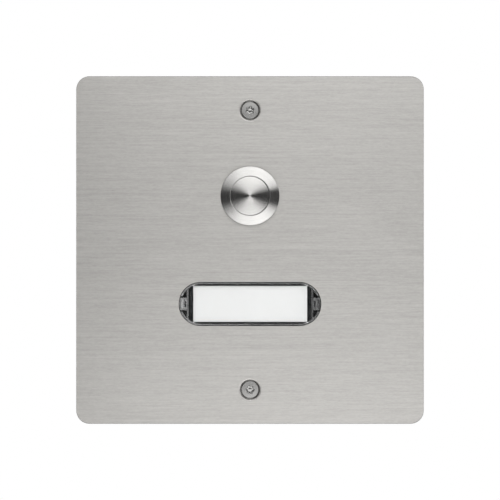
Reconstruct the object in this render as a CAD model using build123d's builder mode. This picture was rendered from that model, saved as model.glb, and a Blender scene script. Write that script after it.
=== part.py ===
import os
from math import cos, pi, radians, sin, tan

from build123d import *

os.makedirs("parts", exist_ok=True)

# All sizes are in millimetres.
# The wall is the XZ plane and the panel faces -Y.
# A height is the distance in front of the wall, so a negative height lies inside the wall.

# Face plate
plate_width = 130.0
plate_height = 130.0
plate_thickness = 2.0
plate_corner_radius = 5.0
plate_edge_chamfer = 0.15

# Wall gasket
gasket_thickness = 1.5
gasket_width = 6.0
gasket_setback = 1.5

# Fixing screws
fixing_inset = 12.75
countersink_diameter = 7.6
countersink_angle = 90.0
screw_hole_diameter = 3.9
screw_head_inset = 0.65
screw_head_land = 0.22
screw_seat_gap = 0.06
screw_waist_diameter = 2.9
screw_thread_diameter = 3.5
screw_reach = 24.0
drive_core_width = 2.35
drive_lobe_span = 3.35
drive_lobe_width = 0.85
drive_depth = 1.1

# Push button, outside
button_rise = 20.2
flange_overhang = 1.5
flange_rim = 1.25
flange_slope = 0.65
bore_edge_width = 0.45
bore_edge_depth = 0.22
bush_diameter = 19.0
bush_wall = 1.88
base_plug_length = 6.8
bush_hole_gap = 0.15
flange_seal_thickness = 0.5
flange_seal_setback = 0.35

# Nut behind the plate
nut_wall = 2.5
nut_thickness = 3.5
nut_chamfer = 0.6
nut_bore_gap = 0.05

# Push button, moving cap
cap_gap = 0.15
cap_thickness = 3.6
cap_crown = 0.3
cap_flat_diameter = 8.0
cap_travel = 2.0
stem_diameter = 5.0
stem_guide_gap = 0.08
web_thickness = 2.0
seal_groove_depth = 0.9
seal_groove_width = 1.1
seal_groove_setback = 1.3
seal_side_gap = 0.08
seal_wall_gap = 0.06

# Return spring
spring_length = 6.0
spring_wire = 0.75
spring_stem_gap = 0.35
spring_turns = 4
spring_steps_per_turn = 12

# Clip on the stem
clip_thickness = 0.6
clip_gap = 0.05
clip_groove_depth = 0.55
clip_diameter = 9.0
clip_band = 1.0
clip_prong_width = 1.4
clip_mouth = 3.4
stem_tail = 2.6

# Contacts
carrier_block_gap = 0.15
carrier_block_height = 6.4
carrier_block_cover = 2.0
carrier_block_floor = 0.6
carrier_press_gap = 0.03
bridge_wall_gap = 0.82
bridge_width = 3.2
bridge_thickness = 0.6
bridge_slot_gap = 0.05
contact_setback = 1.2
contact_size = 1.7
contact_height = 1.0
contact_rest_gap = 0.05

# Switch base
base_wall = 1.25
base_bore_step = 0.25
base_bore_gap = 0.05
base_front_gap = 0.1
base_floor = 3.2
barrier_width = 1.2
barrier_height = 2.6

# Terminals
terminal_thickness = 0.6
terminal_width = 3.2
terminal_slot_gap = 0.05
terminal_leg_setback = 1.12
terminal_pad_length = 2.6
terminal_bend_radius = 0.7
terminal_reach = 6.5
terminal_eye_diameter = 1.4
terminal_eye_setback = 1.9

# Name window
window_drop = 20.2
window_length = 53.4
window_height = 16.5

# Clear cover
cover_length_gap = 0.25
cover_side_gap = 0.25
cover_sink = 0.2
cover_thickness = 1.2
cover_bevel = 0.6
tongue_length = 2.8
tongue_half_height = 2.35
tongue_slot_width = 0.55
blade_recess_length = 3.3
blade_recess_width = 1.15
blade_recess_depth = 0.25
blade_slot_length = 2.3
blade_slot_width = 0.45
blade_slot_depth = 0.5
latch_leg_thickness = 0.8
latch_leg_width = 3.4
latch_leg_setback = 0.45
latch_hook = 0.9
latch_hook_height = 0.7
latch_play = 0.1

# Label and its tray
tray_shift = 0.35
latch_zone = 4.7
rim_zone = 1.15
pocket_side_wall = 1.0
pocket_long_wall = 0.65
cover_rest_gap = 0.05
label_room = 1.05
label_end_play = 0.8
label_side_play = 0.2
label_left_gap = 0.12
label_thickness = 0.4
carrier_seal_thickness = 0.8
carrier_seal_lip = 0.8
carrier_end_margin = 7.0
carrier_side_margin = 3.75
carrier_corner_radius = 3.0
carrier_thickness = 2.0
boss_gap = 0.35
boss_height = 0.7
latch_pocket_gap = 0.35
latch_pocket_height = 13.4
latch_pocket_end_gap = 0.1
latch_pocket_depth = 1.2
latch_room = 0.5
latch_pocket_floor = 1.0
latch_boss_wall = 0.6
latch_boss_width = 16.0

# Studs that hold the tray
stud_clip_gap = 0.7
stud_diameter = 3.0
stud_hole_gap = 0.25
stud_tail = 2.4
stud_clip_width = 6.6
stud_clip_height = 9.0
stud_clip_thickness = 0.5
stud_clip_grip = 0.03
stud_clip_slit_length = 6.0
stud_clip_slit_width = 0.7

# Heights that follow from the sizes
plate_back = gasket_thickness
plate_front = plate_back + plate_thickness
button_z = button_rise
window_z = -window_drop
fixing_z = plate_height / 2 - fixing_inset


def level(height, x=0.0, z=0.0):
    # a plane parallel to the wall that faces the viewer
    return Plane(origin=(x, -height, z), x_dir=(1, 0, 0), z_dir=(0, -1, 0))


def lathe(x=0.0, z=0.0):
    # a plane for turned profiles, drawn as radius and height
    return Plane(origin=(x, 0, z), x_dir=(1, 0, 0), z_dir=(0, 0, -1))


def turning_axis(x=0.0, z=0.0):
    return Axis((x, 0, z), (0, -1, 0))


button_axis = turning_axis(0, button_z)

# Face plate with its openings
bush_hole_radius = bush_diameter / 2 + bush_hole_gap

with BuildPart() as face_plate:
    with BuildSketch(level(plate_back)):
        RectangleRounded(plate_width, plate_height, plate_corner_radius)
    extrude(amount=plate_thickness)
    chamfer(face_plate.faces().sort_by(Axis.Y)[0].edges(), plate_edge_chamfer)
    with BuildSketch(level(plate_back)):
        with Locations((0, window_z)):
            SlotOverall(window_length, window_height)
        with Locations((0, button_z)):
            Circle(bush_hole_radius)
    extrude(amount=plate_thickness, mode=Mode.SUBTRACT)
    with Locations(level(plate_front, 0, fixing_z), level(plate_front, 0, -fixing_z)):
        CounterSinkHole(
            screw_hole_diameter / 2,
            countersink_diameter / 2,
            counter_sink_angle=countersink_angle,
        )

face_plate.part.label = "face_plate"
export_step(face_plate.part, "parts/face_plate.step")

# Gasket frame on the wall, relieved around the screws
with BuildPart() as wall_gasket:
    with BuildSketch(level(0)):
        RectangleRounded(
            plate_width - 2 * gasket_setback,
            plate_height - 2 * gasket_setback,
            plate_corner_radius - gasket_setback,
        )
        Rectangle(
            plate_width - 2 * (gasket_setback + gasket_width),
            plate_height - 2 * (gasket_setback + gasket_width),
            mode=Mode.SUBTRACT,
        )
        with Locations((0, fixing_z), (0, -fixing_z)):
            Circle(countersink_diameter / 2, mode=Mode.SUBTRACT)
    extrude(amount=gasket_thickness)

wall_gasket.part.label = "wall_gasket"
export_step(wall_gasket.part, "parts/wall_gasket.step")

# Countersunk screws with a waist between the head and the thread
cone_slope = tan(radians(countersink_angle / 2))
screw_head_radius = countersink_diameter / 2 - screw_head_inset
screw_waist_radius = screw_waist_diameter / 2
screw_thread_radius = screw_thread_diameter / 2
head_edge_depth = (countersink_diameter / 2 - screw_head_radius - screw_seat_gap) / cone_slope
head_edge = plate_front - head_edge_depth
head_top = head_edge + screw_head_land
thread_start = head_edge - (screw_head_radius - screw_waist_radius) / cone_slope

with BuildPart() as panel_screws:
    with BuildSketch(lathe(0, fixing_z)):
        with BuildLine():
            Polyline(
                (0, head_top),
                (screw_head_radius, head_top),
                (screw_head_radius, head_edge),
                (screw_waist_radius, thread_start),
                (screw_thread_radius, thread_start),
                (screw_thread_radius, -screw_reach),
                (0, -screw_reach),
                close=True,
            )
        make_face()
    revolve(axis=turning_axis(0, fixing_z))
    # six-lobe drive
    with BuildSketch(level(head_top, 0, fixing_z)):
        RegularPolygon(drive_core_width / 2, 6, major_radius=False)
        with PolarLocations(0, 3):
            Rectangle(drive_lobe_span, drive_lobe_width)
    extrude(amount=-drive_depth, mode=Mode.SUBTRACT)
    mirror(about=Plane.XY)

panel_screws.part.label = "panel_screws"
export_step(panel_screws.part, "parts/panel_screws.step")

# Heights inside the push button
flange_back = plate_front + flange_seal_thickness
flange_edge = flange_back + flange_rim
flange_top = flange_edge + flange_slope
cap_top = flange_top
cap_rim = cap_top - cap_crown
cap_back = cap_top - cap_thickness
web_front = cap_back - spring_length
web_back = web_front - web_thickness
bush_back = web_back - base_plug_length
clip_front = web_back - clip_gap
clip_back = clip_front - clip_thickness
stem_end = clip_back - clip_gap - stem_tail
block_front = stem_end + carrier_block_cover
bridge_front = stem_end - carrier_press_gap - carrier_block_floor
bridge_back = bridge_front - bridge_thickness
block_back = bridge_back - carrier_block_floor
contact_face = bridge_back - contact_height
pad_front = contact_face - cap_travel - contact_rest_gap
base_floor_front = pad_front - terminal_thickness
base_back = base_floor_front - base_floor

# Radii inside the push button
bush_radius = bush_diameter / 2
flange_radius = bush_radius + flange_overhang
base_bore_radius = bush_radius - bush_wall
bore_radius = base_bore_radius - base_bore_step
cap_radius = bore_radius - cap_gap
stem_radius = stem_diameter / 2
guide_radius = stem_radius + stem_guide_gap
base_radius = base_bore_radius - base_bore_gap
base_inner_radius = base_radius - base_wall
terminal_leg_position = base_inner_radius - terminal_leg_setback
contact_position = terminal_leg_position - contact_setback
carrier_block_width = 2 * (contact_position - contact_size / 2 - carrier_block_gap)

# Turned housing with a sloping rim, a threaded bush and a web that guides the stem
with BuildPart() as button_housing:
    with BuildSketch(lathe(0, button_z)):
        with BuildLine():
            Polyline(
                (bore_radius, flange_top - bore_edge_depth),
                (bore_radius + bore_edge_width, flange_top),
                (flange_radius, flange_edge),
                (flange_radius, flange_back),
                (bush_radius, flange_back),
                (bush_radius, bush_back),
                (base_bore_radius, bush_back),
                (base_bore_radius, web_back),
                (guide_radius, web_back),
                (guide_radius, web_front),
                (bore_radius, web_front),
                close=True,
            )
        make_face()
    revolve(axis=button_axis)

button_housing.part.label = "button_housing"
export_step(button_housing.part, "parts/button_housing.step")

# Flat seal between the rim and the plate
with BuildPart() as flange_seal:
    with BuildSketch(level(plate_front, 0, button_z)):
        Circle(flange_radius - flange_seal_setback)
        Circle(bush_hole_radius, mode=Mode.SUBTRACT)
    extrude(amount=flange_seal_thickness)

flange_seal.part.label = "flange_seal"
export_step(flange_seal.part, "parts/flange_seal.step")

# Hexagon nut on the bush, its corners turned off behind
nut_flat_radius = bush_radius + nut_wall
nut_back = plate_back - nut_thickness

with BuildPart() as mounting_nut:
    with BuildSketch(level(plate_back, 0, button_z)):
        RegularPolygon(nut_flat_radius, 6, major_radius=False)
        Circle(bush_radius + nut_bore_gap, mode=Mode.SUBTRACT)
    extrude(amount=-nut_thickness)
    with BuildSketch(lathe(0, button_z)):
        with BuildLine():
            Polyline(
                (0, plate_back),
                (nut_flat_radius + nut_wall, plate_back),
                (nut_flat_radius + nut_wall, nut_back + nut_chamfer),
                (nut_flat_radius, nut_back),
                (0, nut_back),
                close=True,
            )
        make_face()
    revolve(axis=button_axis, mode=Mode.INTERSECT)

mounting_nut.part.label = "mounting_nut"
export_step(mounting_nut.part, "parts/mounting_nut.step")

# Moving cap, its face tapered to a low crown, turned in one piece with its stem
groove_front = cap_top - seal_groove_setback
groove_back = groove_front - seal_groove_width
groove_radius = cap_radius - seal_groove_depth
clip_groove_radius = stem_radius - clip_groove_depth

with BuildPart() as button_cap:
    with BuildSketch(lathe(0, button_z)):
        with BuildLine():
            Polyline(
                (0, cap_top),
                (cap_flat_diameter / 2, cap_top),
                (cap_radius, cap_rim),
                (cap_radius, groove_front),
                (groove_radius, groove_front),
                (groove_radius, groove_back),
                (cap_radius, groove_back),
                (cap_radius, cap_back),
                (stem_radius, cap_back),
                (stem_radius, clip_front + clip_gap),
                (clip_groove_radius, clip_front + clip_gap),
                (clip_groove_radius, clip_back - clip_gap),
                (stem_radius, clip_back - clip_gap),
                (stem_radius, stem_end),
                (0, stem_end),
                close=True,
            )
        make_face()
    revolve(axis=button_axis)

button_cap.part.label = "button_cap"
export_step(button_cap.part, "parts/button_cap.step")

# Sealing ring in the groove of the cap
seal_front = groove_front - seal_side_gap
seal_back = groove_back + seal_side_gap
seal_outer_radius = bore_radius - seal_wall_gap

with BuildPart() as cap_seal:
    with BuildSketch(lathe(0, button_z)):
        with BuildLine():
            Polyline(
                (groove_radius + seal_side_gap, seal_front),
                (seal_outer_radius, seal_front),
                (seal_outer_radius, seal_back),
                (groove_radius + seal_side_gap, seal_back),
                close=True,
            )
        make_face()
    revolve(axis=button_axis)

cap_seal.part.label = "cap_seal"
export_step(cap_seal.part, "parts/cap_seal.step")

# Return spring of square wire around the stem, bent in short straight steps
spring_coil_radius = stem_radius + spring_stem_gap + spring_wire / 2
spring_rise = spring_length - 2 * spring_wire
spring_foot = web_front + spring_wire
spring_steps = spring_turns * spring_steps_per_turn


def coil_point(step):
    angle = 2 * pi * step / spring_steps_per_turn
    height = spring_foot + spring_rise * step / spring_steps
    return (spring_coil_radius * cos(angle), -height, button_z + spring_coil_radius * sin(angle))


with BuildPart() as return_spring:
    with BuildLine():
        coil = Polyline(*[coil_point(step) for step in range(spring_steps + 1)])
    with BuildSketch(Plane(origin=coil @ 0, x_dir=(0, -1, 0), z_dir=coil % 0)):
        Rectangle(spring_wire, spring_wire)
    sweep(path=coil, transition=Transition.RIGHT)
    # flat end rings that seat on the web and under the cap
    with BuildSketch(level(web_front, 0, button_z), level(cap_back - spring_wire, 0, button_z)):
        RegularPolygon(spring_coil_radius + spring_wire / 2, spring_steps_per_turn)
        RegularPolygon(spring_coil_radius - spring_wire / 2, spring_steps_per_turn, mode=Mode.SUBTRACT)
    extrude(amount=spring_wire)

return_spring.part.label = "return_spring"
export_step(return_spring.part, "parts/return_spring.step")

# Clip with three prongs in the groove of the stem
clip_radius = clip_diameter / 2
prong_radius = clip_groove_radius + clip_gap

with BuildPart() as retaining_ring:
    with BuildSketch(level(clip_front, 0, button_z)):
        Circle(clip_radius)
        Circle(clip_radius - clip_band, mode=Mode.SUBTRACT)
        with Locations((0, -clip_radius)):
            Rectangle(clip_mouth, 2 * clip_radius, mode=Mode.SUBTRACT)
        with PolarLocations((prong_radius + clip_radius) / 2 - clip_band / 4, 3, start_angle=0,
                            angular_range=180, endpoint=True):
            Rectangle(clip_radius - prong_radius - clip_band / 2, clip_prong_width)
        Circle(prong_radius, mode=Mode.SUBTRACT)
    extrude(amount=-clip_thickness)

retaining_ring.part.label = "retaining_ring"
export_step(retaining_ring.part, "parts/retaining_ring.step")

# Insulating block pressed on the end of the stem, with a cross slot for the bridge
with BuildPart() as contact_carrier:
    with BuildSketch(level(block_front, 0, button_z)):
        Rectangle(carrier_block_width, carrier_block_height)
    extrude(amount=block_back - block_front)
    with BuildSketch(level(block_front, 0, button_z)):
        Circle(stem_radius + carrier_press_gap)
    extrude(amount=-carrier_block_cover - carrier_press_gap, mode=Mode.SUBTRACT)
    with BuildSketch(level(bridge_front + bridge_slot_gap, 0, button_z)):
        Rectangle(carrier_block_width, bridge_width + 2 * bridge_slot_gap)
    extrude(amount=-bridge_thickness - 2 * bridge_slot_gap, mode=Mode.SUBTRACT)

contact_carrier.part.label = "contact_carrier"
export_step(contact_carrier.part, "parts/contact_carrier.step")

# Bridge strip with a contact tip at each end
with BuildPart() as contact_bridge:
    with BuildSketch(level(bridge_front, 0, button_z)):
        Rectangle(2 * (base_inner_radius - bridge_wall_gap), bridge_width)
    extrude(amount=-bridge_thickness)
    with BuildSketch(level(bridge_back, 0, button_z)):
        with GridLocations(2 * contact_position, 0, 2, 1):
            Rectangle(contact_size, contact_size)
    extrude(amount=-contact_height)

contact_bridge.part.label = "contact_bridge"
export_step(contact_bridge.part, "parts/contact_bridge.step")

# Switch base: a moulded cup pressed into the bush
leg_slot_length = terminal_width + 2 * terminal_slot_gap
leg_slot_inner = terminal_leg_position - terminal_bend_radius
leg_slot_outer = terminal_leg_position + terminal_thickness / 2 + terminal_slot_gap
leg_slot_width = leg_slot_outer - leg_slot_inner
leg_slot_middle = (leg_slot_outer + leg_slot_inner) / 2

with BuildPart() as switch_base:
    with BuildSketch(lathe(0, button_z)):
        with BuildLine():
            Polyline(
                (0, base_floor_front),
                (base_inner_radius, base_floor_front),
                (base_inner_radius, web_back - base_front_gap),
                (base_radius, web_back - base_front_gap),
                (base_radius, base_back),
                (0, base_back),
                close=True,
            )
        make_face()
    revolve(axis=button_axis)
    # wall between the two terminals
    with BuildSketch(level(base_back, 0, button_z)):
        Rectangle(barrier_width, 2 * base_radius)
    extrude(amount=-barrier_height)
    # slots for the legs of the contact strips
    with BuildSketch(level(base_floor_front, 0, button_z)):
        with GridLocations(2 * leg_slot_middle, 0, 2, 1):
            Rectangle(leg_slot_width, leg_slot_length)
    extrude(amount=-base_floor, mode=Mode.SUBTRACT)

switch_base.part.label = "switch_base"
export_step(switch_base.part, "parts/switch_base.step")

# Contact strip on the right: pad inside the cup and a solder lug behind the floor
pad_middle = pad_front - terminal_thickness / 2
lug_end = base_back - terminal_reach

with BuildPart() as terminal_right:
    with BuildSketch(lathe(0, button_z)):
        with BuildLine():
            FilletPolyline(
                (terminal_leg_position - terminal_pad_length, pad_middle),
                (terminal_leg_position, pad_middle),
                (terminal_leg_position, lug_end),
                radius=terminal_bend_radius,
            )
        trace(line_width=terminal_thickness)
    extrude(amount=terminal_width / 2, both=True)
    # eye for the wire
    eye_centre = (terminal_leg_position, -lug_end - terminal_eye_setback, button_z)
    with BuildSketch(Plane(origin=eye_centre, x_dir=(0, 0, 1), z_dir=(1, 0, 0))):
        Circle(terminal_eye_diameter / 2)
    extrude(amount=terminal_thickness, both=True, mode=Mode.SUBTRACT)

terminal_right.part.label = "terminal_right"
export_step(terminal_right.part, "parts/terminal_right.step")

# Contact strip on the left, its mirror image
with BuildPart() as terminal_left:
    mirror(terminal_right.part, about=Plane.YZ)

terminal_left.part.label = "terminal_left"
export_step(terminal_left.part, "parts/terminal_left.step")

# Heights in the name plate
cover_front = plate_front - cover_sink
cover_back = cover_front - cover_thickness
pocket_rim = cover_back - cover_rest_gap
label_seat = pocket_rim - label_room
carrier_front = plate_back - carrier_seal_thickness
carrier_back = carrier_front - carrier_thickness
boss_front = carrier_front + boss_height
latch_pocket_bottom = carrier_back - latch_pocket_depth
ledge_back = latch_pocket_bottom + latch_hook_height + 2 * latch_play
hook_front = ledge_back - latch_play
hook_back = hook_front - latch_hook_height

# Lengths in the name plate
cover_length = window_length - 2 * cover_length_gap
cover_height = window_height - 2 * cover_side_gap
boss_length = window_length - 2 * tray_shift - 2 * boss_gap
boss_width = window_height - 2 * boss_gap
latch_leg_outer = cover_length / 2 - latch_leg_setback
hook_outer = latch_leg_outer + latch_hook
pocket_length = cover_length - 2 * latch_zone
pocket_height = cover_height - 2 * rim_zone
label_length = pocket_length - label_end_play
label_height = pocket_height - label_side_play
label_shift = label_left_gap - label_end_play / 2
frame_length = pocket_length + 2 * pocket_side_wall
frame_height = pocket_height + 2 * pocket_long_wall
latch_pocket_start = frame_length / 2 + latch_pocket_gap
undercut_inner = latch_leg_outer - latch_leg_thickness
undercut_outer = hook_outer + latch_room
undercut_middle = (undercut_inner + undercut_outer) / 2
latch_boss_inner = latch_pocket_start - tray_shift - latch_boss_wall
latch_boss_outer = undercut_outer + latch_boss_wall
latch_boss_middle = (latch_boss_inner + latch_boss_outer) / 2
stud_spacing = 2 * latch_boss_outer + 2 * stud_clip_gap + stud_clip_width
carrier_length = stud_spacing + 2 * carrier_end_margin
carrier_height = window_height + 2 * carrier_side_margin
tongue_inner_end = cover_length / 2 - tongue_length
tongue_middle = cover_length / 2 - tongue_length / 2
blade_middle = tongue_inner_end + blade_recess_width / 2

# Clear cover with a sprung latch at each end
with BuildPart() as name_cover:
    with BuildSketch(level(cover_back, 0, window_z)):
        SlotOverall(cover_length, cover_height)
    extrude(amount=cover_thickness)
    chamfer(name_cover.faces().sort_by(Axis.Y)[0].edges(), cover_bevel)
    # slots that free the tongues
    with BuildSketch(level(cover_back, 0, window_z)):
        with GridLocations(2 * tongue_middle, 2 * tongue_half_height + tongue_slot_width, 2, 2):
            Rectangle(tongue_length, tongue_slot_width)
    extrude(amount=cover_thickness, mode=Mode.SUBTRACT)
    # recess and slot for a blade
    with BuildSketch(level(cover_front, 0, window_z)):
        with GridLocations(2 * blade_middle, 0, 2, 1):
            Rectangle(blade_recess_width, blade_recess_length)
    extrude(amount=-blade_recess_depth, mode=Mode.SUBTRACT)
    with BuildSketch(level(cover_front - blade_recess_depth, 0, window_z)):
        with GridLocations(2 * blade_middle, 0, 2, 1):
            Rectangle(blade_slot_width, blade_slot_length)
    extrude(amount=-blade_slot_depth, mode=Mode.SUBTRACT)
    # legs behind the tongues, each with a hook that points outwards
    with BuildSketch(lathe(0, window_z)):
        with BuildLine():
            Polyline(
                (latch_leg_outer - latch_leg_thickness, cover_back),
                (latch_leg_outer, cover_back),
                (latch_leg_outer, hook_front),
                (hook_outer, hook_front),
                (latch_leg_outer, hook_back),
                (latch_leg_outer - latch_leg_thickness, hook_back),
                close=True,
            )
        make_face()
    leg = extrude(amount=latch_leg_width / 2, both=True)
    mirror(leg, about=Plane.YZ)

name_cover.part.label = "name_cover"
export_step(name_cover.part, "parts/name_cover.step")

# Dark tray: flange behind the plate, low boss in the window, frame around the label
carrier_stud_radius = stud_diameter / 2 + stud_hole_gap
latch_pocket_length = cover_length + 2 * latch_pocket_end_gap
latch_boss_back = latch_pocket_bottom - latch_pocket_floor

with BuildPart() as name_carrier:
    with BuildSketch(level(carrier_front, tray_shift, window_z)):
        RectangleRounded(carrier_length, carrier_height, carrier_corner_radius)
        with GridLocations(stud_spacing, 0, 2, 1):
            Circle(carrier_stud_radius, mode=Mode.SUBTRACT)
    extrude(amount=-carrier_thickness)
    # boss and frame
    with BuildSketch(level(carrier_front, tray_shift, window_z)):
        SlotOverall(boss_length, boss_width)
        Rectangle(2 * latch_pocket_start, boss_width, mode=Mode.INTERSECT)
    extrude(amount=boss_height)
    with BuildSketch(level(carrier_front, tray_shift, window_z)):
        SlotOverall(boss_length, boss_width)
        Rectangle(frame_length, frame_height, mode=Mode.INTERSECT)
    extrude(amount=pocket_rim - carrier_front)
    with BuildSketch(level(label_seat, tray_shift, window_z)):
        Rectangle(pocket_length, pocket_height)
    extrude(amount=label_room, mode=Mode.SUBTRACT)
    # blocks behind the latch pockets
    with BuildSketch(level(carrier_back, 0, window_z)):
        with GridLocations(2 * latch_boss_middle, 0, 2, 1):
            Rectangle(latch_boss_outer - latch_boss_inner, latch_boss_width)
    extrude(amount=latch_boss_back - carrier_back)
    # latch pockets, with a ledge that each hook catches
    with BuildSketch(level(boss_front, 0, window_z)):
        SlotOverall(latch_pocket_length, latch_pocket_height)
        with Locations((tray_shift, 0)):
            Rectangle(2 * latch_pocket_start, 2 * latch_pocket_height, mode=Mode.SUBTRACT)
    extrude(amount=latch_pocket_bottom - boss_front, mode=Mode.SUBTRACT)
    with BuildSketch(level(ledge_back, 0, window_z)):
        with GridLocations(2 * undercut_middle, 0, 2, 1):
            Rectangle(undercut_outer - undercut_inner, latch_leg_width + 2 * latch_room)
    extrude(amount=latch_pocket_bottom - ledge_back, mode=Mode.SUBTRACT)

name_carrier.part.label = "name_carrier"
export_step(name_carrier.part, "parts/name_carrier.step")

# Flat gasket between tray and plate
with BuildPart() as carrier_seal:
    with BuildSketch(level(plate_back, tray_shift, window_z)):
        Rectangle(carrier_length - 2 * carrier_seal_lip, carrier_height - 2 * carrier_seal_lip)
        with GridLocations(stud_spacing, 0, 2, 1):
            Circle(carrier_stud_radius, mode=Mode.SUBTRACT)
    extrude(amount=-carrier_seal_thickness)
    with BuildSketch(level(plate_back, 0, window_z)):
        Rectangle(window_length + 2 * carrier_seal_lip, window_height + 2 * carrier_seal_lip)
    extrude(amount=-carrier_seal_thickness, mode=Mode.SUBTRACT)

carrier_seal.part.label = "carrier_seal"
export_step(carrier_seal.part, "parts/carrier_seal.step")

# Blank label card
with BuildPart() as name_label:
    with BuildSketch(level(label_seat, tray_shift + label_shift, window_z)):
        Rectangle(label_length, label_height)
    extrude(amount=label_thickness)

name_label.part.label = "name_label"
export_step(name_label.part, "parts/name_label.step")

# Weld studs behind the plate
clip_back_face = carrier_back - stud_clip_thickness
stud_end = clip_back_face - stud_tail

with BuildPart() as carrier_studs:
    with BuildSketch(level(plate_back, tray_shift, window_z)):
        with GridLocations(stud_spacing, 0, 2, 1):
            Circle(stud_diameter / 2)
    extrude(amount=stud_end - plate_back)

carrier_studs.part.label = "carrier_studs"
export_step(carrier_studs.part, "parts/carrier_studs.step")

# Push-on clips that hold the tray on the studs
with BuildPart() as carrier_clips:
    with BuildSketch(level(carrier_back, tray_shift, window_z)):
        with GridLocations(stud_spacing, 0, 2, 1):
            Rectangle(stud_clip_width, stud_clip_height)
            Rectangle(stud_clip_slit_width, stud_clip_slit_length, mode=Mode.SUBTRACT)
            Circle(stud_diameter / 2 + stud_clip_grip, mode=Mode.SUBTRACT)
    extrude(amount=-stud_clip_thickness)

carrier_clips.part.label = "carrier_clips"
export_step(carrier_clips.part, "parts/carrier_clips.step")
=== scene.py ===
import math

import bmesh
import bpy
from mathutils import Matrix, Vector


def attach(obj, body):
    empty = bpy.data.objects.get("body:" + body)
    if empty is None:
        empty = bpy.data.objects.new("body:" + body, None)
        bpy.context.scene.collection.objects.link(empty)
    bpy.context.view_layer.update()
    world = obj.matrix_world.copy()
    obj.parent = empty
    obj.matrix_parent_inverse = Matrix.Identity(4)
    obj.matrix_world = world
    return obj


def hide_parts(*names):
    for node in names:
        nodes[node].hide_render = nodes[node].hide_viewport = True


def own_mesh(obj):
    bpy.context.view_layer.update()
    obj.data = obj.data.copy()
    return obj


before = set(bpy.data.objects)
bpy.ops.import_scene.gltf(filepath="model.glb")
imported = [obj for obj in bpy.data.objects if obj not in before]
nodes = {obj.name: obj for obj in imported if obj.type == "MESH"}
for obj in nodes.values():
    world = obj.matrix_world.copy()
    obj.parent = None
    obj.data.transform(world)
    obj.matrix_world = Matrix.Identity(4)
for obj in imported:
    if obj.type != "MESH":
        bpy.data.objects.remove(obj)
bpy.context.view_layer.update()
mm = 0.001                                        # sizes below are written in millimetres
buttonHeight = 20.2                               # axis of the button, above the middle of the panel
fixingHeight = 52.25                              # axes of the screws, above and below it
plateFront = 3.5                                  # front of the sheet, before the wall
weld = 0.002 * mm                                 # points closer than this become one
noiseSpan = (0.3, 0.7)                            # most values of a noise lie in here
print("frame loaded:", len(nodes), "nodes")


# Small helpers for node trees

def addNode(tree, kind, values=None, **settings):
    node = tree.nodes.new(kind)
    for key, value in settings.items():
        setattr(node, key, value)
    for key, value in (values or {}).items():
        if isinstance(value, bpy.types.NodeSocket):
            tree.links.new(value, node.inputs[key])
        else:
            node.inputs[key].default_value = value
    return node


def addMath(tree, operation, first, second=0.0, third=0.0):
    values = {0: first, 1: second, 2: third}
    return addNode(tree, "ShaderNodeMath", values, operation=operation).outputs[0]


def addVectorMath(tree, operation, first, second=(0.0, 0.0, 0.0)):
    values = {0: first, "Scale" if operation == "SCALE" else 1: second}
    node = addNode(tree, "ShaderNodeVectorMath", values, operation=operation)
    return node.outputs["Value" if operation == "LENGTH" else "Vector"]


def addRange(tree, value, fromLow, fromHigh, toLow=0.0, toHigh=1.0, smooth=False):
    values = {"Value": value, "From Min": fromLow, "From Max": fromHigh, "To Min": toLow, "To Max": toHigh}
    kind = "SMOOTHSTEP" if smooth else "LINEAR"
    return addNode(tree, "ShaderNodeMapRange", values, interpolation_type=kind).outputs["Result"]


def addMix(tree, factor, first, second):
    values = {0: factor}
    for index, colour in ((6, first), (7, second)):                  # 6 and 7 are the colour sockets
        values[index] = colour if isinstance(colour, bpy.types.NodeSocket) else (*colour, 1.0)
    return addNode(tree, "ShaderNodeMix", values, data_type="RGBA").outputs[2]


def addNoise(tree, vector, scale, detail, roughness=0.5, distortion=0.0):
    return addNode(tree, "ShaderNodeTexNoise", {
        "Vector": vector, "Scale": scale, "Detail": detail, "Roughness": roughness,
        "Distortion": distortion}).outputs[0]


def addBump(tree, height, strength, depth, under=None):
    values = {"Height": height, "Strength": strength, "Distance": depth}
    if under:
        values["Normal"] = under
    return addNode(tree, "ShaderNodeBump", values).outputs["Normal"]


def joinAxes(tree, axes):
    return addNode(tree, "ShaderNodeCombineXYZ", axes).outputs[0]


def splitAxes(tree, vector):
    return addNode(tree, "ShaderNodeSeparateXYZ", {0: vector}).outputs


def flatOffset(tree, place, centre):
    offset = addVectorMath(tree, "SUBTRACT", place, centre)
    return addVectorMath(tree, "MULTIPLY", offset, (1.0, 0.0, 1.0))  # as seen from the front


def objectCoordinates(tree):
    return addNode(tree, "ShaderNodeTexCoord").outputs["Object"]


def newGroup(name, kind, inputs, outputs):
    tree = bpy.data.node_groups.new(name, kind)
    for inOut, sockets in (("INPUT", inputs), ("OUTPUT", outputs)):
        for label, socketKind in sockets.items():
            tree.interface.new_socket(label, in_out=inOut, socket_type="NodeSocket" + socketKind)
    return tree, tree.nodes.new("NodeGroupInput").outputs, tree.nodes.new("NodeGroupOutput")


def placeGroup(tree, group, values):
    return addNode(tree, "ShaderNodeGroup", values, node_tree=group).outputs


def newMaterial(name, plainValues):
    material = bpy.data.materials.new(name)
    material.use_nodes = True
    tree = material.node_tree
    shader = tree.nodes["Principled BSDF"]
    for key, value in plainValues.items():
        shader.inputs[key].default_value = value
    return material, tree, shader


def connect(tree, node, sockets):
    for key, socket in sockets.items():
        tree.links.new(socket, node.inputs[key])


# Brushed lines: short, middling and long strokes, equally strong
brushSize = {
    "lengths": (4.0, 1.0, 0.22),                  # the more cells along a line, the shorter the strokes
    "share": 0.577, "offset": -0.366,             # bring the sum back to the contrast and mean of one noise
    "bandScale": 0.3,
}


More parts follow.
